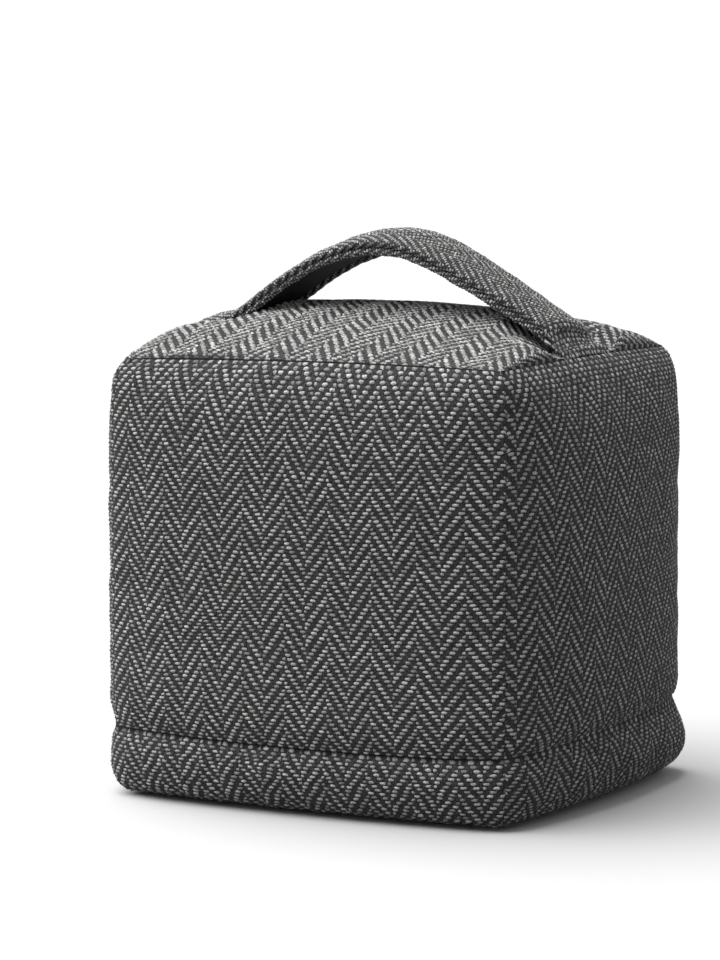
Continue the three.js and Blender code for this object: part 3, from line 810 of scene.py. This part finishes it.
def film_material(name, colour):
    """Woven film over loose weight: soft lumps under a fine weave."""
    m = recipe(name)
    place = m.place()
    lumps = m.noise(place, 160.0, 3.0, 0.5)[0]
    grain = m.noise(place, 1400.0, 2.0, 0.5)[0]
    shade = m.mix(m.ramp(lumps, 0.3, 0.7), opaque(colour, 0.85), opaque(colour, 1.1))
    normal = m.bump(grain, 0.3, 0.0002, m.bump(lumps, 0.5, 0.0015))
    return m.surface(shade, m.ramp(grain, 0.3, 0.7, 0.5, 0.65), normal, specular=0.4)


def woven(name, look=(1.0, 1.0)):
    """Herringbone material in the yarn colours of the scene, its look the fuzziness and the brightness. A
    brightness over 1 paints light and one under 1 paints shade.
    """
    colours = bpy.context.scene.cloth_colours
    return herringbone_material(name, colours.light, colours.dark, cloth().stripe, *look)


def wandering(a, b, seed):
    """Small smooth shifts of the weave's lines, none at the borders of a panel. a and b run from -1 to 1."""
    still = np.minimum(1, 4 * (1 - np.abs(a))) * np.minimum(1, 4 * (1 - np.abs(b)))
    half_panel = 60
    x, y = a * half_panel, b * half_panel
    stray_a, stray_b = waves(x, y, WANDER_SIZES[0], seed), waves(x, y, WANDER_SIZES[1], seed + 7)
    return a + WANDER * stray_a * still, b + WANDER * stray_b * still


def settle(face, points, rows, columns):
    """Adds the settling of the filled cover to a grid of points, by cubic B-spline. rows and columns run from
    0 to 1 over the face."""
    if face not in settling:
        return points
    rim = np.minimum(np.minimum(rows, 1 - rows), np.minimum(columns, 1 - columns))
    return points + curved(settling[face], rows, columns) * smooth(rim / SETTLE_RIM)[..., None]


def plain_cover(steps):
    """The six faces of the cover without their cloth: a grid of points for each, all their points with each
    shared one once, the faces between them, and where each grid's points are among them."""
    s, h = cover(), handle()
    line = np.linspace(-1, 1, steps + 1)
    t, b = np.meshgrid(line, line)
    z = s.foot_height + (b + 1) / 2 * (s.height - s.foot_height)
    grids = {name: side_point(s, name, t, z) for name in SIDES}
    grids["top"] = top_point(s, h, t, b)
    grids["base"] = base_point(s, -t, b)
    every = np.concatenate([grid.reshape(-1, 3) for grid in grids.values()])

    # Points within about a fiftieth of a millimetre of each other are one.
    rounded = np.round(every * 50).astype(int)
    _, first, back = np.unique(rounded, axis=0, return_index=True, return_inverse=True)
    back = back.reshape(len(grids), steps + 1, steps + 1)
    return grids, every[first], cell_corners(back).reshape(-1, 4), back


class DOORSTOP_OT_settle_cover(bpy.types.Operator):
    """Fill a coarse closed cover by cloth simulation and keep how its faces move, less their swelling"""

    bl_idname = "doorstop.settle_cover"
    bl_label = "Settle the cover"

    def execute(self, context):
        settling.clear()
        s = cover()
        steps, frames, seam_width = 24, 20, 2.8
        grids, corners, quads, back = plain_cover(steps)
        line = np.linspace(-1, 1, steps + 1)
        t, b = np.meshgrid(line, line)
        cage = plain_object("cover_cage", corners, quads)
        held = np.zeros(back.shape, bool)
        held[:, (0, -1)] = True
        held[:, :, (0, -1)] = True
        held[list(grids).index("base")] = True
        for number, name in enumerate(SIDES):
            held[number] |= np.abs(grids[name][..., 2] - band_seam(s, name, t)) < seam_width
        cage.vertex_groups.new(name="seams").add(np.unique(back[held]).tolist(), 1.0, "REPLACE")
        filled = cage.modifiers.new("Filling", "CLOTH")
        settings = filled.settings
        settings.quality = 6
        settings.mass = 0.2
        settings.tension_stiffness = settings.compression_stiffness = 15
        settings.shear_stiffness = 5
        settings.bending_stiffness = 0.4
        settings.use_pressure = True
        settings.uniform_pressure_force = 4
        settings.shrink_min = -0.015
        settings.vertex_group_mass = "seams"
        settings.effector_weights.gravity = 0
        filled.point_cache.frame_start, filled.point_cache.frame_end = 1, frames
        for number in range(1, frames + 1):
            context.scene.frame_set(number)
        moved = np.empty(len(corners) * 3, np.float32)
        shape = cage.evaluated_get(context.evaluated_depsgraph_get())
        if len(shape.data.vertices) != len(corners):
            raise RuntimeError("the cover's cage changed while it was filled")
        shape.data.vertices.foreach_get("co", moved)
        shift = moved.reshape(-1, 3) * 1000.0 - corners
        far = np.linalg.norm(shift, axis=1, keepdims=True)
        cap = cloth().settle
        shift *= cap / (cap + far)
        print("settled: mean shift before the cap", float(far.mean()), "largest", float(far.max()))
        spread = (1 - t**2) * (1 - b**2)
        for name, place in zip(grids, back):
            normal = outward(grids[name])
            swelling = np.sum(shift[place] * normal, -1)
            plain = np.sum(swelling * spread) / np.sum(spread**2) * spread
            settling[name] = shift[place] - plain[..., None] * normal
        mesh = cage.data
        bpy.data.objects.remove(cage)
        bpy.data.meshes.remove(mesh)
        context.scene.frame_set(1)
        return {"FINISHED"}


def side_piece(name, label, slot, node, low, high, first_yarn, first_pick, seed):
    """Part of a side between two heights that may change along it, woven with upright stripes. Its grid has
    three columns to two upright yarns, and four rows to a cross yarn in front and two at the back."""
    s, c = cover(), cloth()
    half, _ = halves(s, name)
    warps = 2 * int(round(SIDE_OVER * half / c.warp))
    picks = max(4, int(round((high(0.0) - low(0.0)) / c.pick)))
    fine = 4 if name in ("front", "right") else 2
    t, b = np.meshgrid(np.linspace(-1, 1, 3 * warps // 2 + 1), np.linspace(-1, 1, fine * picks + 1))
    u, v = (t + 1) / 2 * warps + first_yarn, (b + 1) / 2 * picks + first_pick
    t, b = wandering(t, b, seed)
    z = low(t) + (b + 1) / 2 * (high(t) - low(t))
    points = settle(name, side_point(s, name, t, z), height_share(s, z), (t + 1) / 2)
    # The right side's weave is darkened: painted shade where it is turned from the lamp.
    pull, look = (RIGHT_PULL, RIGHT_FUZZ_AND_SHADE) if name == "right" else (1.0, PANEL_LOOK)
    points, u, v, shade = dressed(points, u, v, (True, True, True, True), seed, pull)
    # Painted seam shade, full only along the front's top seam.
    shade[:-SEAM_ROWS] *= LOW_SHADE
    if name != "front":
        shade *= OTHER_SHADE
    piece = cloth_object(label, points, u, v, woven(label + "_cloth", look), [node], shade)


class DOORSTOP_OT_side_panels(bpy.types.Operator):
    """Make the four sides above the band seam"""

    bl_idname = "doorstop.side_panels"
    bl_label = "Side panels"

    def execute(self, context):
        s = cover()
        for number, name in enumerate(SIDES):
            low, high = partial(band_seam, s, name), partial(np.full_like, fill_value=s.height)
            labels = name + "_side", name + "_cloth", name + "_panel"
            side_piece(name, *labels, low, high, SIDE_STARTS[number], 0, 20 + number)
        return {"FINISHED"}


class DOORSTOP_OT_band(bpy.types.Operator):
    """Make the four pieces of the band below the seam that runs all round"""

    bl_idname = "doorstop.band"
    bl_label = "Band"

    def execute(self, context):
        s = cover()
        for number, name in enumerate(SIDES):
            low, high = partial(np.full_like, fill_value=s.foot_height), partial(band_seam, s, name)
            labels = name + "_band", "band_cloth", "band_" + name
            side_piece(name, *labels, low, high, BAND_STARTS[number], 2, 30 + number)
        return {"FINISHED"}


class DOORSTOP_OT_top(bpy.types.Operator):
    """Make the crowned top, its stripes running from front to back"""

    bl_idname = "doorstop.top"
    bl_label = "Top"

    def execute(self, context):
        s, h, c = cover(), handle(), cloth()
        warps = 2 * int(round(TOP_OVER_X / 2 * s.width / c.warp))
        picks = int(round(TOP_OVER_Y * s.depth / c.pick))
        t, b = np.meshgrid(np.linspace(-1, 1, 3 * warps // 2 + 1), np.linspace(-1, 1, 3 * picks + 1))
        u, v = (t + 1) / 2 * warps + TOP_START, (b + 1) / 2 * picks
        t, q = wandering(t, b, 41)

        # Columns at even steps along the dome, so that the yarns keep their width on its steep flanks.
        dense = np.linspace(0, 1, 2000)
        rise = s.crown * dome_along(dense)
        run = np.concatenate([[0], np.cumsum(np.hypot(np.diff(dense) * s.width / 2, np.diff(rise)))])
        p = np.sign(t) * np.interp(np.abs(t), run / run[-1], dense)
        points = settle("top", top_point(s, h, p, q), (q + 1) / 2, (p + 1) / 2)
        points, u, v, shade = dressed(points, u, v, (True, True, True, True), 42)
        # Painted seam shade, full only along the top's front seam.
        shade[SEAM_ROWS:] *= TOP_SHADE
        # Painted shade in blotches where the gap under the top's front edge lies in shadow, at its left.
        x = points[..., 0]
        gap_shade = between(x, *GAP_SHADE_PLACE) * (0.6 + 0.5 * waves(x * 3, v, 9.0, 43))
        shade = np.maximum(shade, bell(v * c.pick, GAP_SHADE_REACH) * np.clip(gap_shade * 1.4, 0, 1))
        # The top's weave is brightened: painted light from the overhead lamp.
        look = woven("top_cloth", TOP_FUZZ_AND_LIGHT)
        piece = cloth_object("top", points, u, v, look, ["top_panel"], shade)
        return {"FINISHED"}


class DOORSTOP_OT_base(bpy.types.Operator):
    """Make the underside in two flaps that overlap"""

    bl_idname = "doorstop.base"
    bl_label = "Underside"

    def execute(self, context):
        s, c = cover(), cloth()
        coarse = 1.5  # yarns to a step of the grid, along and across
        over_floor, hem_place, hem_swell = 0.35, 1.5, 0.3
        stitch_place, stitch_width, stitch_dip = 6, 0.6, 0.5
        front_lip = [[0, 0.5, 0.7], [0, 0.2, 1.6], [0, -3.0, 1.9]]
        back_lip = [[0, -3.0, 4.6], [0, 0.6, 4.0], [0, -0.3, 1.2]]
        warps, picks = int(round(s.width / c.warp / coarse)), int(round(s.depth / c.pick / coarse))
        lap = s.lap_edge / (s.depth / 2 * corner_scale(s, s.foot_height))
        for name, low, high, seed in (("front", -1.0, lap, 51), ("back", lap, 1.0, 52)):
            rows = int(round(picks * (high - low) / 2)) * 2
            t, b = np.meshgrid(np.linspace(-1, 1, 2 * warps + 1), np.linspace(low, high, rows + 1))
            u, v = (t + 1) / 2 * warps * coarse, (b + 1) / 2 * picks * coarse
            points = base_point(s, -t, b)
            points[..., 2] += over_floor * smooth((1 - np.maximum(np.abs(t), np.abs(b))) / 0.1)
            if name == "front":
                hem = s.lap_edge - points[..., 1]
                points[..., 2] -= hem_swell * bell(hem - hem_place, hem_place)
                points[..., 2] += stitch_dip * bell(hem - stitch_place, stitch_width)
                lip = np.repeat(points[-1:], 3, 0) + np.array(front_lip)[:, None]
                points = np.concatenate([points, lip])
                grow, seams = [(0, 3), (0, 0)], (True, False, True, True)
            else:
                points[..., 1] += 0.4 * np.exp(-(points[..., 1] - s.lap_edge) / 2)
                lip = np.repeat(points[:1], 3, 0) + np.array(back_lip)[:, None]
                points = np.concatenate([lip, points])
                grow, seams = [(3, 0), (0, 0)], (False, True, True, True)
            u, v = np.pad(u, grow, mode="edge"), np.pad(v, grow, mode="edge")
            points, u, v, shade = dressed(points, u, v, seams, seed)
            points[..., 2] = np.maximum(points[..., 2], 0.0)
            look, node = woven(name + "_flap_cloth"), f"base_{name}_flap"
            piece = cloth_object(name + "_flap", points, u, v, look, [node], shade)
        return {"FINISHED"}


def rounded_loop(points, count):
    """Closed outline rounded by cutting its corners four times, read off at even steps along its length, and
    that length."""
    loop = np.array(points, float)
    for _ in range(4):
        after = np.roll(loop, -1, 0)
        loop = np.stack([0.75 * loop + 0.25 * after, 0.25 * loop + 0.75 * after], 1).reshape(-1, 2)
    closed = np.concatenate([loop, loop[:1]])
    run = np.concatenate([[0], np.cumsum(np.linalg.norm(np.diff(closed, axis=0), axis=1))])
    at = np.linspace(0, run[-1], count, endpoint=False)
    return np.stack([np.interp(at, run, closed[:, 0]), np.interp(at, run, closed[:, 1])], -1), run[-1]


def along_strap(loop, stations):
    """Grid of points with a section carried along the strap at even steps, and the strap's length. Its ends
    thin out and run into the top seam."""
    s, h = cover(), handle()
    reach = seam_reach(s)
    dense = np.linspace(-reach, reach, 4000)
    height = strap_outside(s, h, dense)
    run = np.concatenate([[0], np.cumsum(np.hypot(np.diff(dense), np.diff(height)))])
    at = np.linspace(0, run[-1], stations)
    x = np.interp(at, run, dense)
    slope = np.interp(at, run, np.gradient(height, dense))
    normal = unit(np.stack([-slope * (np.abs(x) < reach - 5), 0 * x, 0 * x + 1], -1))
    across, up = loop[None, :, 0], loop[None, :, 1] - h.thickness / 2
    place, y = np.broadcast_arrays(x[:, None], h.shift + across)
    points = np.stack([place, y, strap_line(s, h, place, y)], -1)
    points = points + normal[:, None] * (up * fullness(s, place))[..., None]
    return points, run[-1]


class DOORSTOP_OT_handle(bpy.types.Operator):
    """Make the strap of folded cloth with rolled edges, and the tape under it"""

    bl_idname = "doorstop.handle"
    bl_label = "Handle"

    def execute(self, context):
        h, c = handle(), cloth()
        half, top = h.width / 2, h.thickness / 2
        inner, roof = half - h.roll, top - h.fold

        # Half of the section, from the swollen face round the rolled edge to the folded cloth underneath.
        right = [
            (0.42 * half, top + 0.84 * h.crown),
            (0.75 * half, top + 0.46 * h.crown),
            (half - 1.8, top + 0.2),
            (half - 0.2, top - 0.2),
            (half + 0.3, top - 1.0),
            (half, top - 1.9),
            (half - 1.1, top - 2.2),
            (half - 1.9, top - 2.5),
            (half - 1.1, top - 2.9),
            (half - 0.3, top - 3.1),
            (half - 0.1, 0.7 - top),
            (half - 0.9, -top),
            (inner + 0.8, -top),
            (inner, roof - 0.2),
        ]
        outline = [(0, top + h.crown)] + right + [(0, roof - 0.1)] + [(-y, o) for y, o in right[::-1]]
        columns = 144
        loop, around = rounded_loop(outline[::-1], columns)

        # The loop starts in the middle of the underside, where the weave's two ends meet unseen.
        start = int(np.argmin(np.abs(loop[:, 0]) + np.where(loop[:, 1] > 0, 100, 0)))
        loop = np.roll(loop, -start, 0)
        _, run = along_strap(loop, 10)
        tight = h.tightness
        pair = 2 * c.stripe  # yarns in two stripes, so that the pattern closes round the strap
        picks, warps = int(round(run / c.pick / tight)), pair * int(round(around / c.warp / tight / pair))
        points, _ = along_strap(loop, 3 * picks + 1)
        u = np.broadcast_to(np.arange(columns) / columns * warps, points.shape[:2]).copy()
        v = np.broadcast_to((np.arange(3 * picks + 1) / 3)[:, None], points.shape[:2]).copy()
        closed = np.concatenate([points[:, -1:], points, points[:, :1]], 1)
        normal = outward(closed)[:, 1:-1]
        relief = tight * c.relief * (weave_height(u, v, c.stripe) - MID_HEIGHT)
        relief += STRAP_UNEVEN * waves(u * c.warp, v * c.pick, STRAP_UNEVEN_SIZE, 61)
        points = points + normal * relief[..., None]
        # The strap's weave is brightened: painted light from the overhead lamp.
        look = woven("strap_cloth", STRAP_FUZZ_AND_LIGHT)
        strap = cloth_object("strap", points, u, v, look, ["handle_strap"], around=True)

        gap, columns, steps = 0.3, 60, 120
        wide, high = inner - gap, roof - gap
        flat = np.array([(wide, high), (wide, high - h.tape), (-wide, high - h.tape), (-wide, high)])
        part = np.linspace(0, 1, 15)[:-1]
        edge = [a * (1 - k) + b * k for a, b in zip(flat, np.roll(flat, -1, 0)) for k in part]
        strip, _ = rounded_loop(edge, columns)
        points, _ = along_strap(strip, steps + 1)
        u = np.broadcast_to(np.arange(columns) / columns * (4 * wide), points.shape[:2]).copy()
        v = np.broadcast_to((np.arange(steps + 1) / steps * run)[:, None], points.shape[:2]).copy()
        ribs = tape_material("tape_ribs", context.scene.cloth_colours.tape)
        cloth_object("tape", points, u, v, ribs, ["handle_lining"], around=True)
        return {"FINISHED"}


class DOORSTOP_OT_inside(bpy.types.Operator):
    """Make the filling, a few millimetres inside the cover, and finish the weight bag and closure strips"""

    bl_idname = "doorstop.inside"
    bl_label = "Inside"

    def execute(self, context):
        colours = context.scene.cloth_colours
        corners, quads = plain_cover(30)[1:3]
        inside = corners + unit(CENTRE - corners) * FILLING_GAP
        inside[:, 2] = np.maximum(inside[:, 2], FILLING_FLOOR)
        block = plain_object("fibre_block", inside, quads)
        block.data.polygons.foreach_set("use_smooth", np.ones(len(quads), bool))
        block.data.materials.append(fibre_material("matted_fibre", colours.fibre))
        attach(block, "root")
        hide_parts("filling")
        finishes = {
            "weight_bag": film_material("bag_film", colours.film),
            "loop_strip": pile_material("loop_pile", colours.closure, LOOP_SCALE),
            "hook_strip": pile_material("hook_pile", colours.closure, HOOK_SCALE),
        }
        for node, material in finishes.items():
            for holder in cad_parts[node].material_slots:
                holder.material = material
        return {"FINISHED"}


class DOORSTOP_OT_stage(bpy.types.Operator):
    """Set the floor, the lamp, the light all round and the camera"""

    bl_idname = "doorstop.stage"
    bl_label = "Stage"

    def execute(self, context):
        scene, sizes = context.scene, context.scene.stage_sizes
        scene.view_settings.view_transform = "Standard"

        reach = sizes.floor / MM
        corners = [(-reach, -reach, 0), (reach, -reach, 0), (reach, reach, 0), (-reach, reach, 0)]
        floor = plain_object("floor", corners, [(0, 1, 2, 3)])
        m = recipe("floor_white")
        path = m.node("ShaderNodeLightPath")
        seen = m.math("MAXIMUM", path.outputs["Is Camera Ray"], path.outputs["Is Glossy Ray"])
        seen = m.math("MAXIMUM", seen, path.outputs["Is Transmission Ray"])
        grey = (sizes.bounce, sizes.bounce, sizes.bounce, 1.0)
        diffuse = m.node("ShaderNodeBsdfDiffuse")
        m.feed(diffuse.inputs["Color"], m.mix(seen, grey, (1.0, 1.0, 1.0, 1.0)))
        m.tree.links.new(diffuse.outputs[0], m.output.inputs["Surface"])
        floor.data.materials.append(m.owner)

        world = bpy.data.worlds.new("air")
        scene.world = world
        air = Recipe(world, "ShaderNodeOutputWorld")
        path = air.node("ShaderNodeLightPath")
        shown = air.math("MAXIMUM", path.outputs["Is Camera Ray"], path.outputs["Is Transmission Ray"])
        back = air.node("ShaderNodeBackground")
        air.feed(back.inputs["Strength"], air.fed("ShaderNodeMapRange", (shown, 0.0, 1.0, sizes.air, 1.0)))
        air.tree.links.new(back.outputs[0], air.output.inputs[0])

        lamp = bpy.data.lights.new("overhead", "SUN")
        lamp.energy = sizes.key
        lamp.angle = sizes.spread
        overhead = bpy.data.objects.new("overhead", lamp)
        overhead.rotation_mode = "QUATERNION"
        overhead.rotation_quaternion = Vector(LAMP_SIDE).to_track_quat("Z", "Y")
        scene.collection.objects.link(overhead)

        eye = bpy.data.cameras.new("camera")
        eye.lens = sizes.lens
        eye.sensor_width = 36.0
        eye.clip_start, eye.clip_end = 0.05, 100.0
        camera = bpy.data.objects.new("camera", eye)
        a, e = sizes.azimuth, sizes.elevation
        back_to = Vector((np.sin(a) * np.cos(e), -np.cos(a) * np.cos(e), np.sin(e)))
        camera.rotation_mode = "QUATERNION"
        camera.location = Vector(sizes.aim) + back_to * sizes.distance
        camera.rotation_quaternion = (-back_to).to_track_quat("-Z", "Y")
        scene.collection.objects.link(camera)
        scene.camera = camera
        return {"FINISHED"}


class DOORSTOP_PT_panel(bpy.types.Panel):
    """Lists the steps of the door stop"""

    bl_label = "Door stop"
    bl_idname = "DOORSTOP_PT_panel"
    bl_space_type = "VIEW_3D"
    bl_region_type = "UI"
    bl_category = "Door stop"

    def draw(self, context):
        for step in STEPS:
            self.layout.operator(step)


GROUPS = {
    "cover_sizes": CoverSizes,
    "cloth_sizes": ClothSizes,
    "handle_sizes": HandleSizes,
    "cloth_colours": ClothColours,
    "stage_sizes": StageSizes,
}
OPERATORS = (
    DOORSTOP_OT_stage,
    DOORSTOP_OT_settle_cover,
    DOORSTOP_OT_side_panels,
    DOORSTOP_OT_band,
    DOORSTOP_OT_top,
    DOORSTOP_OT_base,
    DOORSTOP_OT_handle,
    DOORSTOP_OT_inside,
)
STEPS = [operator.bl_idname for operator in OPERATORS]


def register():
    for group in GROUPS.values():
        bpy.utils.register_class(group)
    for operator in OPERATORS:
        bpy.utils.register_class(operator)
    bpy.utils.register_class(DOORSTOP_PT_panel)
    for name, group in GROUPS.items():
        setattr(bpy.types.Scene, name, PointerProperty(type=group))


def unregister():
    for name in GROUPS:
        delattr(bpy.types.Scene, name)
    bpy.utils.unregister_class(DOORSTOP_PT_panel)
    for operator in reversed(OPERATORS):
        bpy.utils.unregister_class(operator)
    for group in reversed(list(GROUPS.values())):
        bpy.utils.unregister_class(group)


def main():
    register()
    bpy.ops.doorstop.stage()
    bpy.ops.doorstop.settle_cover()
    bpy.ops.doorstop.side_panels()
    bpy.ops.doorstop.band()
    bpy.ops.doorstop.top()
    bpy.ops.doorstop.base()
    bpy.ops.doorstop.handle()
    bpy.ops.doorstop.inside()


if __name__ == "__main__":
    main()
